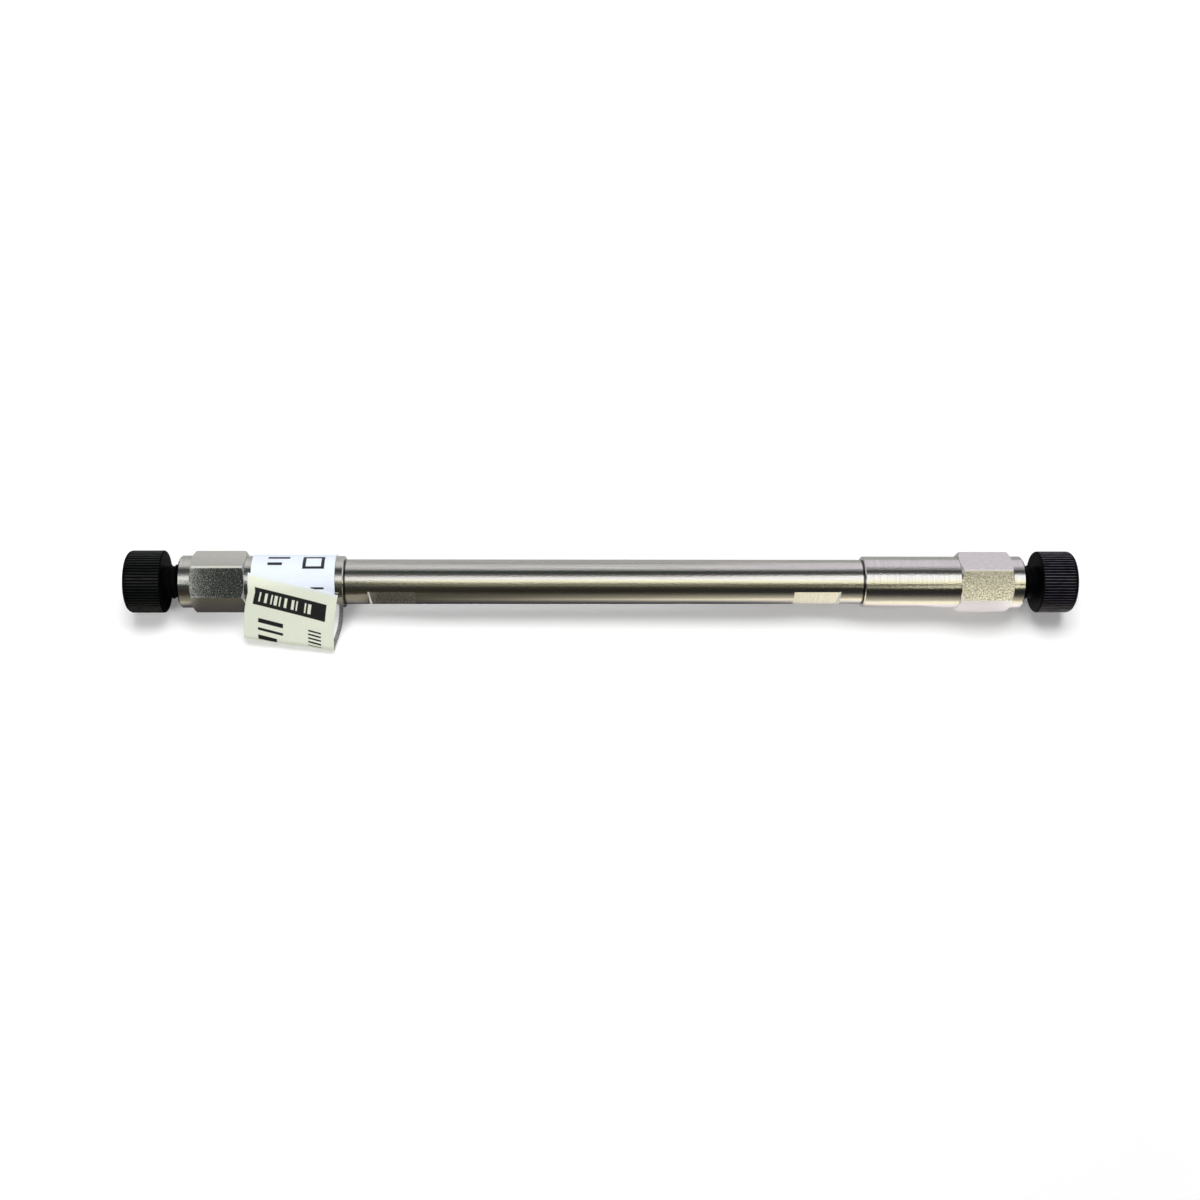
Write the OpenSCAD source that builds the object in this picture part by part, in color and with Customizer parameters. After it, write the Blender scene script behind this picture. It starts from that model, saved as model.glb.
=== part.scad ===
// A packed chromatography column: a narrow steel tube full of packing, closed at each end by
// a screwed end cap with a coned port, and stoppered for storage by two knurled plugs.
// The origin is the centre of the inlet port's mouth. The axis runs along +X to the outlet,
// and +Z is up, with the column lying on its two plugs and on the loop of its label.

/* [Column tube] */
// Length of the tube, end to end
tube_length = 100; // [50:1:250]
// Outside diameter of the tube
tube_od = 6.35; // [6.2:0.05:6.6]
// Bore of the tube, which the packed bed fills
tube_bore = 4.6; // [2:0.1:4.8]
// Diameter of each threaded end of the tube, at the pitch line of its thread
tube_thread_d = 6.05; // [5.95:0.05:6.15]
// Length of each threaded end of the tube
tube_thread_length = 11; // [6:0.5:12]
// Chamfer at the ends of the tube
tube_chamfer = 0.1; // [0.05:0.05:0.2]

/* [Wrench flats] */
// Width across the pair of flats near each end cap
flat_across = 5.75; // [5.3:0.05:6]
// Length of the flats along the tube
flat_length = 6.65; // [4:0.05:8]
// Distance from an end cap to its flats
flat_offset = 3.35; // [1:0.05:6]
// Turn of the flats about the axis, from straight up towards the front
flat_turn = 80; // [0:1:180]

/* [End caps] */
// Diameter of the round boss around the port
boss_d = 7.35; // [6.5:0.05:7.5]
// Length of the boss
boss_length = 1.75; // [1:0.05:3]
// Width across the flats of the hexagon
hex_across = 7.55; // [7.4:0.05:10]
// Length of the hexagon
hex_length = 7.55; // [5:0.05:10]
// Slope of the turned-off corners of the hexagon, from its end faces
hex_dome_angle = 30; // [20:1:40]
// Turn of the inlet cap's hexagon about the axis, from straight up towards the front
inlet_hex_turn = 28; // [0:1:60]
// Turn of the outlet cap's hexagon about the axis, from straight up towards the front
outlet_hex_turn = 35; // [0:1:60]
// Diameter of the skirt that screws over the tube
skirt_d = 7.3; // [7.1:0.05:7.5]
// Length of the skirt
skirt_length = 13.7; // [13:0.1:20]
// Chamfer on the rim of the boss
boss_chamfer = 0.2; // [0.05:0.05:0.4]
// Chamfer on the rim of the skirt
skirt_chamfer = 0.12; // [0.05:0.01:0.25]

/* [Ports] */
// Diameter of the threaded hole, at the pitch line of its thread
port_d = 4.5; // [4.3:0.05:4.8]
// Depth of the threaded hole
port_depth = 5.4; // [4:0.1:6]
// Chamfer at the mouth of the threaded hole
port_chamfer = 0.25; // [0.1:0.05:0.5]
// Diameter of the wide end of the coned seat
seat_d = 3.2; // [2.6:0.1:3.8]
// Included angle of the coned seat
seat_angle = 40; // [30:1:60]
// Diameter of the pilot hole that takes the end of a capillary
pilot_d = 1.65; // [1.3:0.05:1.8]
// Depth of the pilot hole
pilot_depth = 0.8; // [0.5:0.1:2]
// Diameter of the passage from the pilot hole to the bed
passage_d = 0.6; // [0.3:0.05:0.8]
// Length of the passage
passage_length = 0.3; // [0.2:0.05:1]
// Depth of the shallow cone that spreads the flow over the frit
spreader_depth = 0.15; // [0.1:0.05:0.3]

/* [Frits] */
// Diameter of a frit disc
frit_d = 5.1; // [4.9:0.1:5.4]
// Thickness of a frit disc and of its seal ring
frit_thickness = 1; // [0.5:0.1:2]
// Outside diameter of the seal ring pressed around a frit
ring_d = 5.9; // [5.7:0.05:5.9]

/* [Plugs] */
// Diameter over the ridges of a plug's head
head_d = 8.8; // [8.75:0.05:10]
// Length of a plug's head
head_length = 5.25; // [4:0.05:8]
// Number of ridges around the head
ridge_count = 64; // [40:1:72]
// Depth of the grooves between the ridges
ridge_depth = 0.17; // [0.05:0.01:0.25]
// Radius of the head's outer edge
head_edge_r = 0.8; // [0.3:0.05:1]
// Radius of the head's inner edge
head_inner_r = 0.3; // [0.1:0.05:0.5]
// Width of the stretch of thread that shows between the head and the port
plug_gap = 2.2; // [0.5:0.05:4]
// Running clearance between the plug's thread and the port's, at each side
thread_clearance = 0.05; // [0.02:0.01:0.09]
// Clearance between the plug's coned nose and its seat
nose_clearance = 0.1; // [0.05:0.01:0.2]
// Length of the plain tip beyond the nose
tip_length = 0.4; // [0.1:0.1:0.5]

/* [Label] */
// Width of the label strip where it is wound on the cap
label_width = 11.6; // [10:0.1:12.5]
// Width of the strip's loose loop and of its stuck end
flag_width = 12.6; // [10:0.1:13]
// Distance from the inlet cap's hexagon to the label
label_offset = 0.95; // [0.7:0.05:1.2]
// Thickness of the label strip
label_thickness = 0.15; // [0.1:0.01:0.25]
// Air left between the label and the cap, and between its two layers
label_air = 0.03; // [0.02:0.01:0.05]
// Reach of the loose loop from the axis, at the label's edge towards the inlet
loop_reach_inlet = 8; // [7:0.1:9.7]
// Reach of the loose loop from the axis, at the label's edge towards the outlet
loop_reach_outlet = 9.8; // [9:0.1:12]
// Inside radius of the fold at the loop's tip
loop_fold_r = 0.75; // [0.3:0.05:0.8]
// How far the loop's tip slants back towards the inlet
loop_slant = 1.35; // [0:0.05:1.5]
// How far the stuck end lies nearer to the inlet than the first layer
end_slant = 0.35; // [0:0.05:0.6]
// How far the free end runs past the line where it meets the cap, at the inlet edge
end_lap_inlet = 2.8; // [1:0.1:5]
// How far the free end stops short of that line, at the outlet edge
end_short_outlet = 0.85; // [0:0.05:1.5]

/* [Hidden] */

// Fineness of the true circles
ROUND = 96;
// Extra length of every cutting shape
CUT = 1;

// Lengths along a cap, from the mouth of its port
hex_start = boss_length;
skirt_start = hex_start + hex_length;
cap_length = skirt_start + skirt_length;
seat_length = (seat_d - pilot_d) / 2 / tan(seat_angle / 2);
pilot_start = port_depth + seat_length;
passage_start = pilot_start + pilot_depth;
spreader_start = passage_start + passage_length;
frit_start = spreader_start + spreader_depth;
tube_start = frit_start + frit_thickness;
thread_end = tube_start + tube_thread_length;
// Distance between the mouths of the two ports
port_spacing = tube_length + 2 * tube_start;

// The hexagon's corners are turned off to a shallow dome at each end, which meets the end
// face where its flats do
hex_corner_r = hex_across / 2 / cos(30);
hex_dome_r = (hex_across / 2 + hex_corner_r) / 2 / sin(hex_dome_angle);
hex_dome_depth = sqrt(pow(hex_dome_r, 2) - pow(hex_across / 2, 2));

// The plug's own sizes, which follow the port
shank_d = port_d - 2 * thread_clearance;
shank_end = port_depth - 0.2;
shank_chamfer = 0.3;
nose_inset = nose_clearance / cos(seat_angle / 2);
tip_r = pilot_d / 2 - nose_clearance;

// Polar angles of the label's path are measured about the axis from the front-facing side
// of the loop (0) to the direction in which the loop hangs out (90)
label_start = skirt_start + label_offset;
layer_r = skirt_d / 2 + label_air + label_thickness / 2;
lap_r = layer_r + label_thickness + label_air;
fold_r = loop_fold_r + label_thickness / 2;
// The loop droops until its outlet edge touches the surface under the plugs' heads
loop_tip_r = fold_r + label_thickness / 2;
loop_droop = asin((head_d / 2 - loop_tip_r) / (loop_reach_outlet - loop_tip_r));
// The first layer starts out of sight inside the loop
layer_start = 60;
// Stations along the wound layer, each side of the loop, its fold and the stuck end
WIND_STEPS = 58;
SIDE_STEPS = 6;
FOLD_STEPS = 8;
END_STEPS = 24;
PATH_STEPS = WIND_STEPS + SIDE_STEPS + FOLD_STEPS + END_STEPS;
// Strips across the label's width
CROSS_STEPS = 8;

module inlet_place() {
    rotate([0, 90, 0]) children();
}

module outlet_place() {
    translate([port_spacing, 0, 0]) rotate([0, -90, 0]) children();
}

// Outside of a cap, standing on the mouth of its port
module cap_blank(hex_turn) {
    rotate_extrude($fn = ROUND)
        polygon([[0, 0], [boss_d / 2 - boss_chamfer, 0], [boss_d / 2, boss_chamfer],
                 [boss_d / 2, hex_start + CUT / 2],
                 [skirt_d / 2, hex_start + CUT / 2], [skirt_d / 2, cap_length - skirt_chamfer],
                 [skirt_d / 2 - skirt_chamfer, cap_length], [0, cap_length]]);
    intersection() {
        translate([0, 0, hex_start])
            rotate(hex_turn + 30)
                cylinder(r = hex_corner_r, h = hex_length, $fn = 6);
        translate([0, 0, hex_start + hex_dome_depth]) sphere(r = hex_dome_r, $fn = ROUND);
        translate([0, 0, skirt_start - hex_dome_depth]) sphere(r = hex_dome_r, $fn = ROUND);
    }
}

// Everything that is bored out of a cap: port, coned seat, passage, frit pocket and tube socket
module cap_bore() {
    rotate_extrude($fn = ROUND)
        polygon([[0, -CUT], [port_d / 2 + port_chamfer + CUT, -CUT], [port_d / 2, port_chamfer],
                 [port_d / 2, port_depth], [seat_d / 2, port_depth], [pilot_d / 2, pilot_start],
                 [pilot_d / 2, passage_start], [passage_d / 2, passage_start],
                 [passage_d / 2, spreader_start], [tube_bore / 2, frit_start],
                 [ring_d / 2, frit_start], [ring_d / 2, tube_start],
                 [tube_thread_d / 2, tube_start], [tube_thread_d / 2, thread_end],
                 [tube_od / 2, thread_end], [tube_od / 2, cap_length + CUT], [0, cap_length + CUT]]);
}

module end_cap(hex_turn) {
    difference() {
        cap_blank(hex_turn);
        cap_bore();
    }
}

module inlet_end_cap() {
    color("silver") inlet_place() end_cap(inlet_hex_turn);
}

module outlet_end_cap() {
    color("silver") outlet_place() end_cap(-outlet_hex_turn);
}

// The wrench flats near one end, at the given distance of their middle from the tube's end
module flat_pair(middle) {
    for (side = [-1, 1])
        translate([side * (flat_across / 2 + CUT), 0, middle])
            cube([2 * CUT, tube_od, flat_length], center = true);
}

module column_tube() {
    thread_r = tube_thread_d / 2;
    flat_middle = cap_length - tube_start + flat_offset + flat_length / 2;
    color("lightgray")
        translate([tube_start, 0, 0]) rotate([0, 90, 0])
            difference() {
                rotate_extrude($fn = ROUND)
                    polygon([[tube_bore / 2, 0], [thread_r - tube_chamfer, 0], [thread_r, tube_chamfer],
                             [thread_r, tube_thread_length], [tube_od / 2, tube_thread_length],
                             [tube_od / 2, tube_length - tube_thread_length],
                             [thread_r, tube_length - tube_thread_length],
                             [thread_r, tube_length - tube_chamfer],
                             [thread_r - tube_chamfer, tube_length], [tube_bore / 2, tube_length]]);
                rotate(flat_turn) {
                    flat_pair(flat_middle);
                    flat_pair(tube_length - flat_middle);
                }
            }
}

module packed_bed() {
    color("white")
        translate([tube_start, 0, 0]) rotate([0, 90, 0])
            cylinder(d = tube_bore, h = tube_length, $fn = ROUND);
}

module frit() {
    translate([0, 0, frit_start]) cylinder(d = frit_d, h = frit_thickness, $fn = ROUND);
}

module inlet_frit() {
    color("darkgray") inlet_place() frit();
}

module outlet_frit() {
    color("darkgray") outlet_place() frit();
}

module seal_ring() {
    translate([0, 0, frit_start])
        difference() {
            cylinder(d = ring_d, h = frit_thickness, $fn = ROUND);
            translate([0, 0, -CUT]) cylinder(d = frit_d, h = frit_thickness + 2 * CUT, $fn = ROUND);
        }
}

module inlet_seal_ring() {
    color("tan") inlet_place() seal_ring();
}

module outlet_seal_ring() {
    color("tan") outlet_place() seal_ring();
}

// Cross-section of the knurled head: flat-topped ridges with flat-bottomed grooves between
module ridge_ring() {
    crest_r = head_d / 2;
    root_r = crest_r - ridge_depth;
    pitch = 360 / ridge_count;
    polygon([for (i = [0 : ridge_count - 1], corner = [[-0.32, 0], [-0.14, 1], [0.14, 1], [0.32, 0]])
        let (a = pitch * (i + corner[0]), r = root_r + corner[1] * (crest_r - root_r))
            [r * cos(a), r * sin(a)]]);
}

// Half section of the head, from its outer face (0) to its inner face
module head_section() {
    r = head_d / 2;
    square([r - head_edge_r, head_length]);
    translate([0, head_edge_r]) square([r, head_length - head_edge_r - head_inner_r]);
    translate([0, head_length / 2]) square([r - head_inner_r, head_length / 2]);
    translate([r - head_edge_r, head_edge_r]) circle(r = head_edge_r, $fn = ROUND);
    translate([r - head_inner_r, head_length - head_inner_r]) circle(r = head_inner_r, $fn = ROUND);
}

module plug() {
    translate([0, 0, -plug_gap - head_length])
        intersection() {
            linear_extrude(height = head_length) ridge_ring();
            rotate_extrude($fn = ROUND) head_section();
        }
    rotate_extrude($fn = ROUND)
        polygon([[0, -plug_gap - CUT], [shank_d / 2, -plug_gap - CUT],
                 [shank_d / 2, shank_end - shank_chamfer],
                 [shank_d / 2 - shank_chamfer, shank_end],
                 [seat_d / 2 - nose_inset, shank_end],
                 [seat_d / 2 - nose_inset, port_depth],
                 [tip_r, port_depth + (seat_d / 2 - nose_inset - tip_r) / tan(seat_angle / 2)],
                 [tip_r, pilot_start + tip_length], [0, pilot_start + tip_length]]);
}

module inlet_plug() {
    color([0.06, 0.06, 0.07]) inlet_place() plug();
}

module outlet_plug() {
    color([0.06, 0.06, 0.07]) outlet_place() plug();
}

// Where the label's path leaves the cap for a loop of the given reach, as an angle from the
// loop's own direction, for the back (r = layer_r) or the front (r = lap_r)
function loop_half_angle(r, reach) = acos((r - fold_r) / (reach - loop_tip_r));
function spoke(a) = [cos(a), sin(a)];
function side_length(r, reach) = sqrt(pow(reach - loop_tip_r, 2) - pow(r - fold_r, 2));

// The path gives, for each station: its middle line in the plane across the axis, the angle
// of its outward normal, and how far it is through the wind (0), loop (1) and end (2)
function wind_station(k, reach) =
    let (leave = 90 + loop_half_angle(layer_r, reach),
         a = layer_start - (layer_start + 360 - leave) * k / WIND_STEPS)
        [layer_r * spoke(a), a, 0];

function back_station(k, reach) =
    let (leave = 90 + loop_half_angle(layer_r, reach),
         fold = [0, reach - loop_tip_r] + fold_r * spoke(leave),
         f = k / SIDE_STEPS)
        [(1 - f) * layer_r * spoke(leave) + f * fold, leave, f];

function fold_station(k, reach) =
    let (leave = 90 + loop_half_angle(layer_r, reach),
         meet = 90 - loop_half_angle(lap_r, reach),
         a = leave - (leave - meet) * k / FOLD_STEPS)
        [[0, reach - loop_tip_r] + fold_r * spoke(a), a, 1];

function end_station(k, reach, lap) =
    let (meet = 90 - loop_half_angle(lap_r, reach),
         side = side_length(lap_r, reach),
         s = (side + lap) * k / END_STEPS,
         fold = [0, reach - loop_tip_r] + fold_r * spoke(meet),
         f = min(s / side, 1),
         a = meet - max(s - side, 0) / lap_r * 180 / PI)
        [s < side ? (1 - f) * fold + f * lap_r * spoke(meet) : lap_r * spoke(a), a, 1 + f];

function station(i, reach, lap) =
    i <= WIND_STEPS ? wind_station(i, reach)
    : i <= WIND_STEPS + SIDE_STEPS ? back_station(i - WIND_STEPS, reach)
    : i <= WIND_STEPS + SIDE_STEPS + FOLD_STEPS ? fold_station(i - WIND_STEPS - SIDE_STEPS, reach)
    : end_station(i - WIND_STEPS - SIDE_STEPS - FOLD_STEPS, reach, lap);

// Shift of a station towards the inlet
function slant(stage) =
    stage <= 1 ? loop_slant * pow(stage, 2)
    : loop_slant - (loop_slant - end_slant) * pow(stage - 1, 2);

function mix(from, to, v) = from + (to - from) * v;

// A point on one face of the strip: side is -1 inside and +1 outside
function label_point(i, j, side) =
    let (v = j / CROSS_STEPS,
         reach = mix(loop_reach_inlet, loop_reach_outlet, v),
         lap = mix(end_lap_inlet, -end_short_outlet, v),
         st = station(i, reach, lap),
         width = mix(label_width, flag_width, min(st[2], 1)),
         p = st[0] + side * label_thickness / 2 * spoke(st[1]))
        [label_start + v * width - slant(st[2]), -p[1], p[0]];

function label_index(i, j, side) =
    ((side > 0 ? PATH_STEPS + 1 : 0) + i) * (CROSS_STEPS + 1) + j;

// Two triangles for the four-cornered patch a, b, c, d
function patch(a, b, c, d) = [[a, b, c], [a, c, d]];

module label() {
    rows = PATH_STEPS;
    columns = CROSS_STEPS;
    points = [for (side = [-1, 1], i = [0 : rows], j = [0 : columns]) label_point(i, j, side)];
    faces = [
        for (i = [0 : rows - 1], j = [0 : columns - 1])
            each concat(
                patch(label_index(i, j, 1), label_index(i, j + 1, 1),
                      label_index(i + 1, j + 1, 1), label_index(i + 1, j, 1)),
                patch(label_index(i, j, -1), label_index(i + 1, j, -1),
                      label_index(i + 1, j + 1, -1), label_index(i, j + 1, -1))),
        for (i = [0 : rows - 1])
            each concat(
                patch(label_index(i, 0, -1), label_index(i, 0, 1),
                      label_index(i + 1, 0, 1), label_index(i + 1, 0, -1)),
                patch(label_index(i, columns, 1), label_index(i, columns, -1),
                      label_index(i + 1, columns, -1), label_index(i + 1, columns, 1))),
        for (j = [0 : columns - 1])
            each concat(
                patch(label_index(0, j, -1), label_index(0, j + 1, -1),
                      label_index(0, j + 1, 1), label_index(0, j, 1)),
                patch(label_index(rows, j, 1), label_index(rows, j + 1, 1),
                      label_index(rows, j + 1, -1), label_index(rows, j, -1)))
    ];
    color([0.93, 0.94, 0.9])
        rotate([loop_droop, 0, 0]) polyhedron(points, faces, convexity = 8);
}

column_tube();
packed_bed();
inlet_end_cap();
outlet_end_cap();
inlet_frit();
outlet_frit();
inlet_seal_ring();
outlet_seal_ring();
inlet_plug();
outlet_plug();
label();
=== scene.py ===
import math

import bpy
from mathutils import Matrix, Vector


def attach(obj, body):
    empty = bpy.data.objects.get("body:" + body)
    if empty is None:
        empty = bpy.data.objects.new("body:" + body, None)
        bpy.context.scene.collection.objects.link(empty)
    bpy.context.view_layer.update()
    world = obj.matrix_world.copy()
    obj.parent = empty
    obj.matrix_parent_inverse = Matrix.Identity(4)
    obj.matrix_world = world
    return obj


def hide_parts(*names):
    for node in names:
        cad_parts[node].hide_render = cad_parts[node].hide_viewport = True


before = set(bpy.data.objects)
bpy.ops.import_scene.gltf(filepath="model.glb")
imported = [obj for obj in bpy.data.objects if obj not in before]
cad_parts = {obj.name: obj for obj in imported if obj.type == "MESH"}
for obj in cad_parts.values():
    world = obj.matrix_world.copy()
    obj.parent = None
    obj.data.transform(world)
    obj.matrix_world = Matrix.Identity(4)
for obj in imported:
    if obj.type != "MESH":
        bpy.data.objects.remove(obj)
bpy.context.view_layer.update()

# ---- Column tube -------------------------------------------------------------------------
# A length of quarter-inch stainless tube, cold drawn, so its grain runs along it. Two pairs
# of wrench flats are milled across it, and a maker holds them while the caps are torqued.
MM = 0.001
COLUMN_MIDDLE = 59.7793
FLAT_ACROSS, FLAT_HALF_WIDTH = 5.75, 1.35
FLAT_TURN = math.radians(80)
FLAT_FROM, FLAT_TO = COLUMN_MIDDLE - 33.0, COLUMN_MIDDLE - 26.35
SLIVER_INSET, SLIVER_LEAN = 0.20, 0.14
SKIRT_END = COLUMN_MIDDLE - 23.0
STEEL = (0.60, 0.59, 0.57, 1)
STEEL_BRIGHT = (0.70, 0.69, 0.67, 1)
STEEL_DULL = (0.40, 0.395, 0.385, 1)
RUNOUT_HIGHLIGHT = (0.92, 0.92, 0.91, 1)
JOINT_SHADE = (0.03, 0.03, 0.028, 1)


class Wire:
    """A socket in a material's nodes. Arithmetic on it adds Math nodes."""

    def __init__(self, tree, socket=None):
        self.tree, self.socket = tree, socket

    def node(self, kind, settings=None, inputs=None, out=0):
        """Adds a node of a kind, with its settings first and then its inputs."""
        made = self.tree.nodes.new(kind)
        for name, value in (settings or {}).items():
            if name == "stops":
                ramp = made.color_ramp.elements
                while len(ramp) < len(value):
                    ramp.new(0.5)
                for stop, (place, colour) in zip(ramp, value):
                    stop.position, stop.color = place, colour
            else:
                setattr(made, name, value)
        for name, value in (inputs or {}).items():
            if isinstance(value, Wire):
                self.tree.links.new(value.socket, made.inputs[name])
            else:
                made.inputs[name].default_value = value
        return Wire(self.tree, made.outputs[out]) if made.outputs else made

    def of(self, name):
        """Another output of the same node."""
        return Wire(self.tree, self.socket.node.outputs[name])

    def math(self, operation, *terms):
        return self.node("ShaderNodeMath", {"operation": operation}, dict(enumerate(terms)))

    def root(self):
        return self.math("SQRT", self)

    def __add__(self, other):
        return self.math("ADD", self, other)

    def __sub__(self, other):
        return self.math("SUBTRACT", self, other)

    def __mul__(self, other):
        return self.math("MULTIPLY", self, other)

    def __truediv__(self, other):
        return self.math("DIVIDE", self, other)

    def __rsub__(self, other):
        return self.math("SUBTRACT", other, self)

    __radd__, __rmul__ = __add__, __mul__

    def __abs__(self):
        return self.math("ABSOLUTE", self)

    def rise(self, low, high):
        """0 below low, 1 above high, and smooth between them. Low may be above high."""
        settings = {"interpolation_type": "SMOOTHSTEP"}
        inputs = {"Value": self, "From Min": low, "From Max": high}
        if low > high:
            return 1 - self.node(
                "ShaderNodeMapRange", settings, {**inputs, "From Min": high, "From Max": low}
            )
        return self.node("ShaderNodeMapRange", settings, inputs)

    def band(self, low, high, soft):
        """1 between low and high, and smooth for this much on both sides of each edge."""
        return self.rise(low - soft, low + soft) * self.rise(high + soft, high - soft)

    def blend(self, first, second):
        """The first colour where this wire is 0, and the second where it is 1."""
        mix = {"data_type": "RGBA", "clamp_factor": True}
        return self.node("ShaderNodeMix", mix, {0: self, 6: first, 7: second}, out=2)

    def stretch(self, x, y, z):
        """Millimetres stretched by x, y and z, for a grain with a direction."""
        return self.node(
            "ShaderNodeVectorMath", {"operation": "MULTIPLY"}, {0: self, 1: (x, y, z)}
        )

    def noise(self, detail=2.0, roughness=0.5):
        inputs = {"Vector": self, "Scale": 1.0, "Detail": detail, "Roughness": roughness}
        return self.node("ShaderNodeTexNoise", {}, inputs, out="Fac")

    def bump(self, microns):
        """A normal from this height, from 0 to 1, over a depth in thousandths of a mm."""
        return self.node(
            "ShaderNodeBump", {}, {"Height": self, "Distance": microns * 1e-6, "Strength": 1.0}
        )


def new_finish(name):
    """An empty material, its wire, and its place in millimetres in the object's frame."""
    material = bpy.data.materials.new(name)
    material.use_nodes = True
    material.node_tree.nodes.clear()
    wire = Wire(material.node_tree)
    place = wire.node("ShaderNodeTexCoord", out="Object").stretch(1000, 1000, 1000)
    return material, wire, place


def surface(wire, **sockets):
    """Ends a material in a Principled shader with these sockets."""
    inputs = {name.replace("_", " "): value for name, value in sockets.items()}
    shader = wire.node("ShaderNodeBsdfPrincipled", {}, inputs)
    wire.node("ShaderNodeOutputMaterial", {}, {"Surface": shader})


def dress(node, material):
    """Puts a material in every slot of a CAD node."""
    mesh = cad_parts[node].data
    if not mesh.materials:
        mesh.materials.append(material)
    for index in range(len(mesh.materials)):
        mesh.materials[index] = material


def axes(wire, place):
    """The three parts of a place."""
    split = wire.node("ShaderNodeSeparateXYZ", {}, {"Vector": place})
    return split, split.of("Y"), split.of("Z")


drawn_steel, wire, place = new_finish("drawn_steel")
x, y, z = axes(wire, place)
grain = place.stretch(0.10, 4.0, 4.0).noise(3.0, 0.6)
scratches = place.stretch(0.5, 12.0, 12.0).noise(3.0, 0.7)
pits = place.stretch(4.0, 8.0, 8.0).noise(3.0, 0.8).rise(0.60, 0.68)
depth = abs(y * -math.sin(FLAT_TURN) + z * math.cos(FLAT_TURN))
along = abs(x - COLUMN_MIDDLE)
on_flat = depth.band(FLAT_ACROSS / 2 - 0.02, FLAT_ACROSS / 2 + 0.02, 0.005)
on_flat = on_flat * along.band(FLAT_FROM, FLAT_TO, 0.02)
# painted highlight: where the cutter runs out at the end next to the cap, a crescent is painted
# pale, rough and less metallic, for the light that the run-out's curve catches
aside = (y * math.cos(FLAT_TURN) + z * math.sin(FLAT_TURN)) / FLAT_HALF_WIDTH
runout_highlight = abs(along - (FLAT_TO - SLIVER_INSET) - aside * SLIVER_LEAN).rise(0.17, 0.11) * on_flat
speckle = place.stretch(2.0, 7.0, 7.0).noise(2.0, 0.6)
mill_marks = place.stretch(8.0, 1.2, 1.2).noise(3.0, 0.6)
tube_grey = (grain * 0.6 + scratches * 0.4).rise(0.35, 0.65).blend(STEEL, STEEL_BRIGHT)
tube_grey = (pits * 0.7).blend(tube_grey, STEEL_DULL)
# painted shade: a dark line on the tube where it comes out of each cap
joint_shade = along.rise(SKIRT_END - 0.32, SKIRT_END - 0.18)
tube_grey = (joint_shade * 0.9).blend(tube_grey, JOINT_SHADE)
flat_grey = mill_marks.rise(0.35, 0.65).blend(STEEL, STEEL_BRIGHT)
# the flats carry the painted highlight of the cutter's run-out
flat_grey = runout_highlight.blend(flat_grey, RUNOUT_HIGHLIGHT)
tube_height = grain * 0.4 + scratches * 0.35 + pits * 0.9 + speckle * 12
surface(
    wire,
    Base_Color=on_flat.blend(tube_grey, flat_grey),
    Metallic=1 - runout_highlight * 0.8,
    Roughness=0.08 + scratches * 0.07 + pits * 0.12 + on_flat * 0.12 + runout_highlight * 0.5,
    Normal=(tube_height + on_flat * mill_marks).bump(0.9),
)
dress("column_tube", drawn_steel)

# ---- Packed bed --------------------------------------------------------------------------
# Fine porous silica, slurry packed under pressure so hard that it stands as one white rod.
# It fills the tube's bore from frit to frit, and nothing but the two frits holds it.
SILICA = (0.80, 0.79, 0.76, 1)
SILICA_WHITE = (0.86, 0.85, 0.83, 1)

bed_silica, wire, place = new_finish("bed_silica")
beads = place.stretch(60, 60, 60).noise(2.0, 0.6)
clumps = place.stretch(2.5, 2.5, 2.5).noise(2.0, 0.5)
surface(
    wire,
    Base_Color=clumps.rise(0.35, 0.65).blend(SILICA, SILICA_WHITE),
    Roughness=0.85 + beads * 0.1,
    Normal=beads.bump(6),
)
dress("packed_bed", bed_silica)

# ---- Frits and seal rings ----------------------------------------------------------------
# Each frit is a disc of sintered steel powder that lets the liquid through and holds back
# the bed. A ring of tan PEEK is pressed around it, and the cap squeezes both on to the tube.
SINTER_GRAIN = (0.46, 0.44, 0.41, 1)
SINTER_PORE = (0.16, 0.155, 0.15, 1)
PEEK_BROWN = (0.50, 0.36, 0.22, 1)
PEEK_TAN = (0.58, 0.43, 0.28, 1)

sintered_steel, wire, place = new_finish("sintered_steel")
grains = wire.node("ShaderNodeTexVoronoi", {}, {"Vector": place, "Scale": 14.0}, out="Distance")
speckle = place.stretch(9, 9, 9).noise(2.0, 0.6)
surface(
    wire,
    Base_Color=(grains * speckle * 2.2).blend(SINTER_GRAIN, SINTER_PORE),
    Metallic=1.0,
    Roughness=0.42 + speckle * 0.25,
    Normal=(1 - grains).bump(25),
)

ring_peek, wire, place = new_finish("ring_peek")
fleck = place.stretch(4, 4, 4).noise(3.0, 0.6)
lathe_lines = place.stretch(12, 0.7, 0.7).noise(1.0, 0.5)
surface(
    wire,
    Base_Color=fleck.rise(0.3, 0.7).blend(PEEK_BROWN, PEEK_TAN),
    Roughness=0.42 + lathe_lines * 0.15,
    Normal=lathe_lines.bump(4),
)
for end in ("inlet", "outlet"):
    dress(f"{end}_frit", sintered_steel)
    dress(f"{end}_seal_ring", ring_peek)

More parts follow.
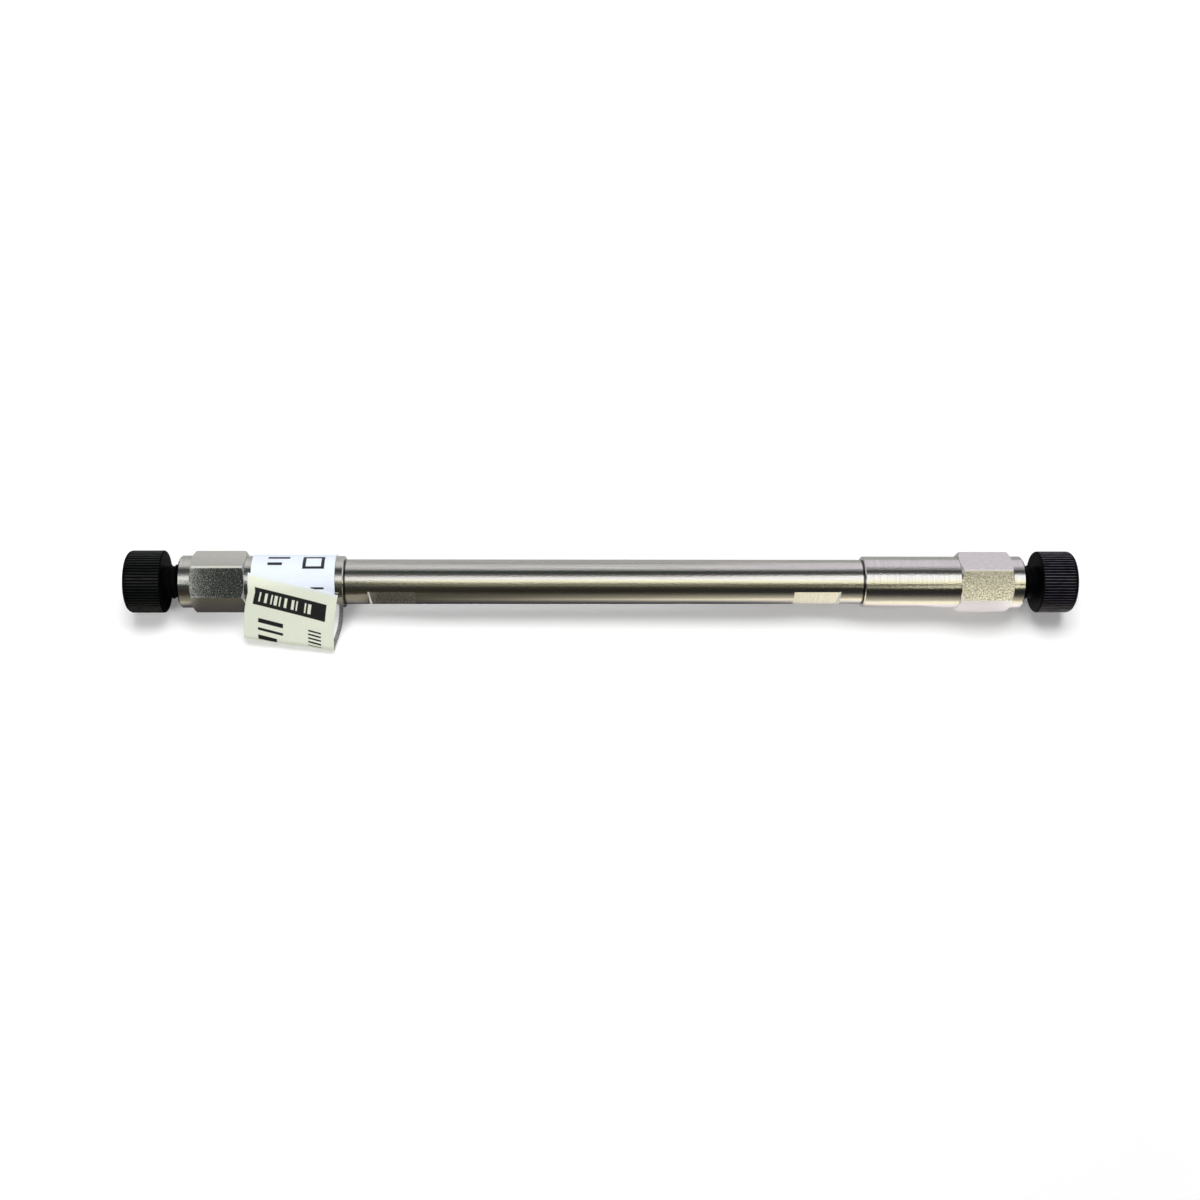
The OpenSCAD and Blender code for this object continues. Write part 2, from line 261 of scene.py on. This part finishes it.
# ---- End caps ----------------------------------------------------------------------------
# Each cap is one turned piece of stainless steel: boss, hexagon for the wrench, and a skirt
# that screws over the tube. Tool marks run round the turned parts. The hexagon is bar stock.
HEX_FROM, HEX_TO = COLUMN_MIDDLE - 9.30, COLUMN_MIDDLE - 1.75
CORNER_R = 4.20
CAP_STEEL = (0.60, 0.59, 0.575, 1)
CAP_STEEL_BRIGHT = (0.70, 0.69, 0.675, 1)
CAP_PIT = (0.38, 0.375, 0.365, 1)
BAR_DARK = (0.36, 0.355, 0.34, 1)
BAR_LIGHT = (0.95, 0.94, 0.92, 1)
CORNER_HIGHLIGHT = (0.93, 0.93, 0.92, 1)
PITCH = 0.794
PORT_R, PORT_CREST_R = 2.25, 2.05
PORT_THREAD_FROM, PORT_THREAD_TO = 0.1, 5.3
PORT_SPACING = 2 * COLUMN_MIDDLE
RIDGE_ROOT, RIDGE_CREST = 0.2, 0.08
RIDGE_SUNK = 0.02
RUN_OUT = 0.6 * PITCH
STEPS_A_TURN = 48

cap_steel, wire, place = new_finish("cap_steel")
x, y, z = axes(wire, place)
along = abs(x - COLUMN_MIDDLE)
radius = (y * y + z * z).root()
on_hex = along.band(HEX_FROM - 0.02, HEX_TO + 0.02, 0.01) * radius.rise(3.2, 3.4)
tool_marks = place.stretch(9.0, 0.3, 0.3).noise(3.0, 0.6)
pits = place.stretch(6.0, 8.0, 8.0).noise(2.0, 0.7).rise(0.64, 0.72)
# the facet that lies up and forward is pitted and the others are drawn smoother
pitted = y.rise(0.2, -0.2) * z.rise(1.5, 2.0)
bar_grain = place.stretch(4.0, 5.4, 5.4).noise(4.0, 0.9)
bar_lines = place.stretch(1.2, 9.0, 9.0).noise(3.0, 0.6)
bar_pits = place.stretch(4.0, 4.5, 4.5).noise(3.0, 0.8).rise(0.63, 0.70)
speckle = place.stretch(2.0, 7.0, 7.0).noise(2.0, 0.6)
turned_grey = tool_marks.rise(0.3, 0.7).blend(CAP_STEEL, CAP_STEEL_BRIGHT)
turned_grey = (pits * 0.7).blend(turned_grey, CAP_PIT)
hex_grey = bar_grain.rise(0.40, 0.60) * pitted + (0.25 + bar_lines * 0.5) * (1 - pitted)
hex_grey = hex_grey.blend(BAR_DARK, BAR_LIGHT)
# painted highlight: the hexagon's corners are painted pale and rougher, most of all the upper
# ones, where their rounded edges catch the light
corner_highlight = on_hex * radius.rise(CORNER_R, CORNER_R + 0.12) * (0.05 + z.rise(2.6, 4.0) * 0.95)
hex_grey = corner_highlight.blend(hex_grey, CORNER_HIGHLIGHT)
cap_roughness = 0.085 + tool_marks * 0.03 + pits * 0.12 + corner_highlight * 0.30
turned_height = tool_marks * 0.12 + pits * 0.6 + speckle * 10
# only the outlet cap is pitted deeply enough to feel
pit_depth = 0.15 + pitted * x.rise(20, 80) * 0.45
hex_height = (bar_grain * 0.35 + bar_pits) * pit_depth
surface(
    wire,
    Base_Color=on_hex.blend(turned_grey, hex_grey),
    Metallic=1.0,
    Roughness=cap_roughness + on_hex * (bar_pits * pitted * 0.15 - 0.045),
    Normal=((1 - on_hex) * turned_height + on_hex * hex_height).bump(1.0),
)
for end in ("inlet", "outlet"):
    dress(f"{end}_end_cap", cap_steel)


def select_none():
    """Leaves nothing selected, so that the next operator acts on its own piece alone."""
    if bpy.context.object and bpy.context.object.mode != "OBJECT":
        bpy.ops.object.mode_set(mode="OBJECT")
    bpy.ops.object.select_all(action="DESELECT")


def thread_ridge(name, root_r, crest_r, start, end, phase, mirrored):
    """A right-hand helical ridge about the X axis, run out to nothing at both ends."""
    select_none()
    bpy.ops.mesh.primitive_plane_add(size=1, location=(0, 0, 0))
    ridge = bpy.context.object
    ridge.name = name
    foot_r = root_r + math.copysign(RIDGE_SUNK, root_r - crest_r)
    foot = [(-RIDGE_ROOT, foot_r), (RIDGE_ROOT, foot_r)]
    crest = [(-RIDGE_CREST, crest_r), (RIDGE_CREST, crest_r)]
    for vertex, (beside, r) in zip(ridge.data.vertices, foot + crest):
        vertex.co = (beside * MM, 0, r * MM)
    bpy.ops.object.mode_set(mode="EDIT")
    bpy.ops.mesh.select_all(action="SELECT")
    bpy.ops.mesh.delete(type="ONLY_FACE")
    bpy.ops.object.mode_set(mode="OBJECT")
    length = end - start
    turns = length / PITCH
    screw = ridge.modifiers.new("thread", "SCREW")
    screw.axis, screw.use_merge_vertices = "X", False
    screw.steps = screw.render_steps = round(STEPS_A_TURN * turns)
    screw.angle = 2 * math.pi * turns
    screw.screw_offset = length * MM
    bpy.ops.object.modifier_apply(modifier=screw.name)
    bpy.ops.object.mode_set(mode="EDIT")
    bpy.ops.mesh.select_all(action="DESELECT")
    bpy.ops.mesh.select_non_manifold(extend=False, use_boundary=True, use_wire=False)
    bpy.ops.mesh.edge_face_add()
    bpy.ops.mesh.select_all(action="SELECT")
    bpy.ops.mesh.normals_make_consistent(inside=False)
    bpy.ops.object.mode_set(mode="OBJECT")
    for vertex in ridge.data.vertices:
        in_from_end = min(vertex.co.x / MM, length - vertex.co.x / MM)
        height = min(1.0, max(0.05, in_from_end / RUN_OUT))
        r = math.hypot(vertex.co.y, vertex.co.z) / MM
        shrunk = (foot_r + (r - foot_r) * height) / r
        vertex.co.y *= shrunk
        vertex.co.z *= shrunk
    place_at = Matrix.Translation((start * MM, 0, 0)) @ Matrix.Rotation(phase, 4, "X")
    if mirrored:
        half_turn = Matrix.Rotation(math.pi, 4, "Z")
        place_at = Matrix.Translation((PORT_SPACING * MM, 0, 0)) @ half_turn @ place_at
    ridge.data.transform(place_at)
    bpy.ops.object.shade_smooth_by_angle(angle=math.radians(28))
    return ridge


for end, mirrored in (("inlet", False), ("outlet", True)):
    port_thread = thread_ridge(
        f"{end}_port_thread", PORT_R, PORT_CREST_R, PORT_THREAD_FROM, PORT_THREAD_TO,
        math.pi, mirrored,
    )
    port_thread.data.materials.append(cap_steel)
    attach(port_thread, "column")

# ---- Storage plugs -----------------------------------------------------------------------
# Each plug is one moulded piece of black plastic with a knurled head for the fingers. Its
# thread screws into the port, and its coned nose seals the column while it is on the shelf.
SHANK_R, PLUG_CREST_R = 2.2, 2.41
PLUG_THREAD_FROM, PLUG_THREAD_TO = -2.15, 4.9
HEAD_R = 4.4
PLUG_BLACK = (0.0018, 0.0018, 0.0022, 1)
INLET_CREST = (0.010, 0.013, 0.012, 1)
OUTLET_CREST = (0.060, 0.054, 0.080, 1)

plug_black, wire, place = new_finish("plug_black")
x, y, z = axes(wire, place)
radius = (y * y + z * z).root()
on_crest = radius.rise(HEAD_R - 0.045, HEAD_R - 0.01)
skin = place.stretch(5, 5, 5).noise(3.0, 0.6)
rubs = place.stretch(0.7, 3.0, 3.0).noise(4.0, 0.65).rise(0.30, 0.70)
# the crests are painted paler than the black: partly wear, where the rubs fall, and partly a
# painted highlight for the light they catch
wear_and_highlight = on_crest * (0.4 + rubs * 0.6)
# painted highlight: the outlet plug's crests are paler and violet, as more light falls on that
# end
crest_highlight = x.rise(0.0, 120.0).blend(INLET_CREST, OUTLET_CREST)
surface(
    wire,
    Base_Color=wear_and_highlight.blend(PLUG_BLACK, crest_highlight),
    Roughness=0.45 + skin * 0.12,
    Specular_IOR_Level=0.03,
    Coat_Weight=wear_and_highlight,
    Coat_Roughness=0.25,
    Normal=(skin * 0.6 + rubs * 0.2).bump(5),
)
for end, mirrored in (("inlet", False), ("outlet", True)):
    dress(f"{end}_plug", plug_black)
    plug_thread = thread_ridge(
        f"{end}_plug_thread", SHANK_R, PLUG_CREST_R, PLUG_THREAD_FROM, PLUG_THREAD_TO,
        0.0, mirrored,
    )
    plug_thread.data.materials.append(plug_black)
    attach(plug_thread, f"{end}_plug")

# ---- Label -------------------------------------------------------------------------------
# A strip of coated paper wound once round the inlet cap's skirt and stuck down. The rest of
# it hangs out as a loose loop, and its end is folded back and stuck over the first layer.
LABEL_WIDTH, FLAG_WIDTH, LABEL_START, LABEL_T = 11.6, 12.6, 10.25, 0.15
WIND_FROM = math.radians(60)
LAYER_R, LAP_R = 3.755, 3.935
FOLD_R, LOOP_TIP_R = 0.825, 0.9
REACH_INLET, REACH_OUTLET = 8.0, 9.8
LAP_INLET, LAP_OUTLET = 2.8, -0.85
LOOP_SLANT, END_SLANT, LOOP_BULGE = 1.35, 0.35, 0.35
LOOP_DROOP = math.asin((HEAD_R - LOOP_TIP_R) / (REACH_OUTLET - LOOP_TIP_R))
WIND_STEPS, SIDE_STEPS, FOLD_STEPS, END_STEPS = 116, 16, 16, 56
LABEL_STEPS = WIND_STEPS + SIDE_STEPS + FOLD_STEPS + END_STEPS
CROSS_STEPS = 12
UV_LENGTH = 40
PRINT_EDGE = 0.04
TICK_PITCH = 0.55
CREAM, CREAM_PALE = (0.65, 0.68, 0.56, 1), (0.69, 0.72, 0.60, 1)
WHITE, WHITE_PALE = (0.65, 0.70, 0.79, 1), (0.69, 0.74, 0.83, 1)
BACKING, BACKING_PALE = (0.74, 0.75, 0.76, 1), (0.80, 0.81, 0.82, 1)
LABEL_MARGIN_DARK = (0.085, 0.075, 0.07, 1)
INK = (0.008, 0.008, 0.009, 1)
RULES = (
    (2.0, 5.5, 6.2, 6.85), (2.0, 5.5, 7.6, 8.0), (2.0, 4.6, 8.7, 9.4), (9.0, 11.0, 32.2, 32.5),
    (2.4, 5.7, 27.2, 27.7), (2.4, 4.6, 28.5, 29.0),
)


def label_station(step, reach, lap):
    """The strip's middle line in the plane across the axis, and its stage: 0 while it is wound
    on the skirt, up to 1 along the loop's back, and up to 2 along its front."""
    span = reach - LOOP_TIP_R
    leave = math.pi / 2 + math.acos((LAYER_R - FOLD_R) / span)
    meet = math.pi / 2 - math.acos((LAP_R - FOLD_R) / span)

    def spoke(angle, r):
        return Vector((r * math.cos(angle), r * math.sin(angle)))

    tip = Vector((0, span))
    if step <= WIND_STEPS:
        angle = WIND_FROM - (WIND_FROM + 2 * math.pi - leave) * step / WIND_STEPS
        return spoke(angle, LAYER_R), 0.0
    step -= WIND_STEPS
    if step <= SIDE_STEPS:
        share = step / SIDE_STEPS
        return spoke(leave, LAYER_R).lerp(tip + spoke(leave, FOLD_R), share), share
    step -= SIDE_STEPS
    if step <= FOLD_STEPS:
        angle = leave - (leave - meet) * step / FOLD_STEPS
        return tip + spoke(angle, FOLD_R), 1.0
    step -= FOLD_STEPS
    side = math.sqrt(span**2 - (LAP_R - FOLD_R) ** 2)
    passed = (side + lap) * step / END_STEPS
    if passed < side:
        share = passed / side
        return (tip + spoke(meet, FOLD_R)).lerp(spoke(meet, LAP_R), share), 1 + share
    return spoke(meet - (passed - side) / LAP_R, LAP_R), 2.0


def label_point(step, v):
    """The strip's middle surface at a step along it and a share v of its width."""
    reach = REACH_INLET + (REACH_OUTLET - REACH_INLET) * v
    lap = LAP_INLET + (LAP_OUTLET - LAP_INLET) * v
    point, stage = label_station(step, reach, lap)
    slant = LOOP_SLANT * stage**2 - LOOP_BULGE * v * math.sin(math.pi * stage)
    if stage > 1:
        slant = LOOP_SLANT - (LOOP_SLANT - END_SLANT) * (stage - 1) ** 2
    width = LABEL_WIDTH + (FLAG_WIDTH - LABEL_WIDTH) * min(stage, 1)
    hanging = Vector((LABEL_START + v * width - slant, -point.y, point.x))
    return Matrix.Rotation(LOOP_DROOP, 3, "X") @ hanging


select_none()
bpy.ops.mesh.primitive_grid_add(
    x_subdivisions=LABEL_STEPS, y_subdivisions=CROSS_STEPS, size=1
)
label = bpy.context.object
label.name = "label_strip"
steps_of = {}
for vertex in label.data.vertices:
    step, v = round((vertex.co.x + 0.5) * LABEL_STEPS), vertex.co.y + 0.5
    steps_of[vertex.index] = (step, round(v * CROSS_STEPS))
    vertex.co = label_point(step, v) * MM
lengths = {}
for cross in range(CROSS_STEPS + 1):
    passed, last = 0.0, label_point(0, cross / CROSS_STEPS)
    lengths[0, cross] = 0.0
    for step in range(1, LABEL_STEPS + 1):
        here = label_point(step, cross / CROSS_STEPS)
        passed += (here - last).length
        last = here
        lengths[step, cross] = passed
uv = label.data.uv_layers.active.data
for loop in label.data.loops:
    step, cross = steps_of[loop.vertex_index]
    # U is a share of the strip's width, and V is the length left to its free end
    left = (lengths[LABEL_STEPS, cross] - lengths[step, cross]) / UV_LENGTH
    uv[loop.index].uv = (cross / CROSS_STEPS, left)

label_print, wire, place = new_finish("label_print")
chart = wire.node("ShaderNodeUVMap", {"uv_map": label.data.uv_layers.active.name})
across, left, _ = axes(wire, chart)
across, left = across * FLAG_WIDTH, left * UV_LENGTH
fibre = place.stretch(6, 6, 6).noise(3.0, 0.6)
cream_paper = fibre.rise(0.3, 0.7).blend(CREAM, CREAM_PALE)
white_paper = fibre.rise(0.3, 0.7).blend(WHITE, WHITE_PALE)
# the last 15 mm are cream, up to a cut edge that shows white
paper = left.rise(16.0, 15.0).blend(white_paper, cream_paper)
paper = (left.rise(0.45, 0.35) * 0.5).blend(paper, white_paper)


def block(from_across, to_across, from_left, to_left):
    """A plain printed rectangle, with its sides in millimetres across and along the strip."""
    wide = across.band(from_across, to_across, PRINT_EDGE)
    return wide * left.band(from_left, to_left, PRINT_EDGE)


# the print is plain blocks and rules, and spells nothing
stripes = chart.stretch(26, 0, 0).noise(0.0, 0.5).rise(0.50, 0.53)
wave = left * (2 * math.pi / TICK_PITCH)
ticks = wave.math("SINE", wave).rise(0.0, 0.3)
dark = block(1.0, 11.3, 1.75, 4.3) * (1 - block(1.7, 10.6, 2.3, 3.75) * stripes)
dark = dark + block(7.7, 11.0, 27.2, 29.6) * (1 - block(8.2, 10.5, 27.6, 29.2))
dark = dark + block(9.0, 10.8, 5.8, 8.4) * ticks
for sides in RULES:
    dark = dark + block(*sides)
printed = dark.math("MINIMUM", dark, 1.0).blend(paper, INK)
# painted light: the paper also glows a little in its own colours, which keeps it pale where the
# lamps leave it dim
surface(
    wire,
    Base_Color=printed,
    Roughness=0.42 + fibre * 0.2,
    Emission_Color=printed,
    Emission_Strength=0.10,
    Normal=fibre.bump(4),
)

# the sticky side is white and glows with painted light, and the margin that stands clear of the
# cap is darker, in a mottled grey-brown
label_back, wire, place = new_finish("label_back")
chart = wire.node("ShaderNodeUVMap", {"uv_map": label.data.uv_layers.active.name})
across, _, _ = axes(wire, chart)
fibre = place.stretch(6, 6, 6).noise(3.0, 0.6)
dark_margin = across.rise(0.945, 0.96) * (0.5 + place.stretch(2, 5, 5).noise(3.0, 0.7) * 0.8)
paper = dark_margin.blend(fibre.rise(0.3, 0.7).blend(BACKING, BACKING_PALE), LABEL_MARGIN_DARK)
# painted light: the backing glows in its own colours at almost half strength
surface(
    wire,
    Base_Color=paper,
    Roughness=0.5 + fibre * 0.2,
    Emission_Color=paper,
    Emission_Strength=0.45,
    Normal=fibre.bump(4),
)
# the second slot is the one that Solidify gives to the outer face and to the rim
label.data.materials.append(label_back)
label.data.materials.append(label_print)
thickness = label.modifiers.new("thickness", "SOLIDIFY")
thickness.thickness = LABEL_T * MM
thickness.offset = 0
thickness.use_even_offset = True
thickness.material_offset = 1
thickness.material_offset_rim = 1
bpy.ops.object.modifier_apply(modifier=thickness.name)
bpy.ops.object.shade_smooth_by_angle(angle=math.radians(40))
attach(label, "column")
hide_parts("label")

# ---- Table, lamps and camera --------------------------------------------------------------
# A white sheet, on which the column lies on its plugs, under soft boxes. None of it is part of
# the column. The steel sees the sheet and the boxes at other levels than they light things.
FLOOR_Z = -HEAD_R * MM
SHEET_WHITE = (0.88, 0.88, 0.88, 1)
BRIGHT = (1, 1, 1, 1)
SHEET_PINK = (1.0, 0.94, 0.97, 1)
SHEET_YELLOW = (1.0, 0.93, 0.72, 1)
SHEET_FAR = (1.0, 1.0, 0.96, 1)
SHEET_LILAC = (1.0, 0.93, 0.97, 1)

select_none()
bpy.ops.mesh.primitive_plane_add(size=6, location=(0, 0, 0))
table = bpy.context.object
table.name = "table"
table.data.transform(Matrix.Translation((COLUMN_MIDDLE * MM, 0, FLOOR_Z)))
white_table, wire, place = new_finish("white_table")
x, y, z = axes(wire, place)
ray = wire.node("ShaderNodeLightPath", out="Is Camera Ray")
glossy = ray.of("Is Glossy Ray")
# in the steel the table is lit from the outlet side, mostly in a bar before the column
near = 1 - y.rise(-8.5, -4.5) * (0.80 - x.rise(75.0, 112.0) * 1.10)
bar = 0.07 + y.rise(-60.0, -25.0) * 0.15 + y.rise(-25.0, -13.0) * 0.20
bar = (bar + y.rise(-13.5, -9.0) * 0.60) * near
in_front = 0.08 + (x.rise(25.0, 110.0) * 1.2 + x.rise(2.0, -1.0) * 0.35) * bar
in_front = in_front + x.band(18.5, 25.5, 1.5) * 0.2 + x.rise(16.0, 8.0) * 0.03
behind = y.rise(-1.0, 1.0)
in_steel = behind * (0.42 + y.rise(30.0, 200.0) * 0.28) + (1 - behind) * in_front
sheet_tint = y.rise(-4.5, -8.0).blend(SHEET_PINK, SHEET_YELLOW)
sheet_tint = behind.blend(sheet_tint, SHEET_FAR)
mirrored = wire.node(
    "ShaderNodeVectorMath", {"operation": "SCALE"}, {0: sheet_tint, "Scale": in_steel}
)
matt = wire.node("ShaderNodeBsdfDiffuse", {}, {"Color": glossy.blend(SHEET_WHITE, mirrored)})
# painted light: a thin streak glows on the table just before the tube, where the tube would
# throw light back on to it
lift = 0.17 + y.band(-2.3, -1.2, 0.7) * x.rise(22.0, 30.0) * x.rise(90.0, 62.0) * 0.10
# far from the column, where the lamps fade, the sheet is lit from below
aside = x - COLUMN_MIDDLE
lift = lift + (aside * aside + y * y).root().rise(95.0, 240.0) * 0.85
# painted reflection: a lilac glow on the table close to the column, seen only in the steel, so
# that the outlet hexagon's lower facet, which looks at it, shows it; the facet throws none of
# that light back on to the table
lilac_reflection_glow = glossy * ray.of("Diffuse Depth").rise(1.0, 0.0) * 0.40
lilac_reflection_glow = lilac_reflection_glow * x.rise(105.0, 109.0) * y.rise(-5.9, -4.4) * y.rise(-0.6, -1.4)
glow = wire.node(
    "ShaderNodeEmission",
    {},
    {
        "Color": glossy.blend(BRIGHT, SHEET_LILAC),
        "Strength": (ray + ray.of("Is Transmission Ray")) * lift + lilac_reflection_glow,
    },
)
both = wire.node("ShaderNodeAddShader", {}, {0: matt, 1: glow})
wire.node("ShaderNodeOutputMaterial", {}, {"Surface": both})
table.data.materials.append(white_table)


def soft_box(name, place, size, watts, target, spread):
    """An oblong lamp that looks at a point on the axis, and leaves no shape in the steel.
    Its place and size are in metres, its target in millimetres along the axis."""
    select_none()
    bpy.ops.object.light_add(type="AREA", location=place)
    lamp = bpy.context.object
    lamp.name = name
    lamp.data.shape = "RECTANGLE"
    lamp.data.size, lamp.data.size_y = size
    lamp.data.energy = watts
    lamp.data.spread = math.radians(spread)
    toward = Vector((target * MM, 0, 0)) - Vector(place)
    lamp.rotation_euler = toward.to_track_quat("-Z", "Y").to_euler()
    lamp.visible_glossy = False


soft_box(
    "lamp_behind", place=(0.10, 0.175, 0.52), size=(0.45, 0.32), watts=3.2,
    target=COLUMN_MIDDLE, spread=180,
)
soft_box(
    "lamp_before", place=(-0.12, -0.20, 0.26), size=(0.12, 0.12), watts=0.0385,
    target=20, spread=45,
)

world = bpy.data.worlds.new("studio")
bpy.context.scene.world = world
world.use_nodes = True
world.node_tree.nodes.clear()
wire = Wire(world.node_tree)
toward = wire.node("ShaderNodeTexCoord", out="Generated")
x, y, z = axes(wire, toward)
# elevation about the column's axis: 0 at the front, 90 overhead, 180 at the back
elevation = z.math("ARCTAN2", z, y * -1.0) * (180 / math.pi)

PLAIN, OLIVE, STRAW = (1.0, 0.99, 0.97), (1.0, 0.90, 0.64), (1.0, 0.96, 0.68)
GREEN, LILAC = (0.86, 1.0, 0.92), (0.98, 0.92, 1.0)
ROOM_GREY = (0.13, 0.13, 0.13, 1)


def boxes(*bands):
    """Bands of light by their elevation in degrees, each with a level and maybe a tint."""
    stops = []
    for degrees, level, *tint in bands:
        colour = tint[0] if tint else PLAIN
        stops.append((degrees / 180, [level * share for share in colour] + [1.0]))
    return elevation.node("ShaderNodeValToRGB", {"stops": stops}, {"Fac": elevation / 180})


to_inlet = boxes(
    (0, 0.08, OLIVE), (20, 0.04, OLIVE), (34, 0.06, GREEN), (48, 0.065, GREEN),
    (63, 0.05, GREEN), (65.5, 0.35), (68, 0.95), (76, 1.20), (84, 0.95), (90, 0.50),
    (97, 0.20), (105, 0.11, GREEN), (116, 0.08, GREEN), (123, 0.14), (129, 0.45),
    (138, 0.74), (155, 0.80), (170, 0.68), (180, 0.66),
)
overhead = boxes(
    (0, 0.08, OLIVE), (12, 0.025, OLIVE), (23, 0.04, OLIVE), (34, 0.055, OLIVE),
    (39, 0.12, OLIVE), (43, 0.27, STRAW), (50, 0.28, STRAW), (54, 0.36, STRAW),
    (58, 0.78, STRAW), (62, 1.28, STRAW), (68, 1.42, STRAW), (76, 1.42), (83, 1.25),
    (88, 0.95), (92, 0.46), (97, 0.15), (107, 0.06, GREEN), (117, 0.06, GREEN), (123, 0.18),
    (128, 0.50), (133, 0.72), (142, 0.86), (152, 0.80), (165, 0.62), (176, 0.44), (180, 0.42),
)
to_outlet = boxes(
    (0, 0.09), (10, 0.035), (21, 0.03), (29, 0.045, OLIVE), (34, 0.12, OLIVE),
    (40, 0.14, STRAW), (49.5, 0.15, STRAW), (52.5, 0.18, STRAW), (54.5, 1.05, STRAW),
    (59, 1.30, STRAW), (66, 1.42, STRAW), (74, 1.50), (84, 1.40), (92, 1.50), (95.5, 1.05),
    (99, 0.22), (106, 0.10), (113, 0.09), (121, 0.13), (128, 0.40), (134, 0.76, LILAC),
    (143, 0.94, LILAC), (160, 0.90, LILAC), (180, 0.88, LILAC),
)
studio = x.rise(-0.05, -0.16).blend(overhead, to_inlet)
studio = x.rise(0.08, 0.20).blend(studio, to_outlet)
# three small boxes: one for the inlet boss, a thin one for the outlet skirt and boss, and one
# for the facet of the outlet hexagon that lies up and forward
boss_box = x.rise(-0.2190, -0.2225) * elevation.rise(46, 56) * elevation.rise(66, 64)
thin_box = x.rise(0.215, 0.225) * elevation.band(35.5, 41.5, 1)
facet_box = x.rise(0.250, 0.260) * elevation.rise(41, 42) * elevation.rise(49.5, 44)
studio = boss_box.blend(studio, (1.30, 1.36, 1.24, 1))
studio = thin_box.blend(studio, (0.95, 0.91, 0.66, 1))
studio = facet_box.blend(studio, (1.55, 1.47, 1.10, 1))
ray = wire.node("ShaderNodeLightPath", out="Is Camera Ray")
glossy = ray.of("Is Glossy Ray")
lit = glossy.blend(ROOM_GREY, studio)
lit = ray.blend(lit, BRIGHT)
sky = wire.node("ShaderNodeBackground", {}, {"Color": lit, "Strength": 1.0})
wire.node("ShaderNodeOutputWorld", {}, {"Surface": sky})

CAMERA_DISTANCE = 0.222
AIM_LEFT, AIM_DOWN = 0.00071, 0.002604


def level_axes(back):
    """Right and up for a camera that looks away from this direction and stays level."""
    up = back.cross(Vector((1, 0, 0))).normalized()
    return up.cross(back), up


toward_camera = Vector((-0.0417, -0.4536, 0.8902)).normalized()
middle = Vector((COLUMN_MIDDLE * MM, 0, 0))
stand = middle + toward_camera * CAMERA_DISTANCE
right, up = level_axes(toward_camera)
back = (stand - (middle - right * AIM_LEFT - up * AIM_DOWN)).normalized()
right, up = level_axes(back)
camera_data = bpy.data.cameras.new("camera")
camera_data.lens = 46.659
camera_data.sensor_width = 36
camera_data.clip_start = 0.005
camera = bpy.data.objects.new("camera", camera_data)
bpy.context.scene.collection.objects.link(camera)
facing = Matrix((right, up, back)).transposed().to_4x4()
camera.matrix_world = Matrix.Translation(stand) @ facing
bpy.context.scene.camera = camera
bpy.context.scene.view_settings.view_transform = "Standard"
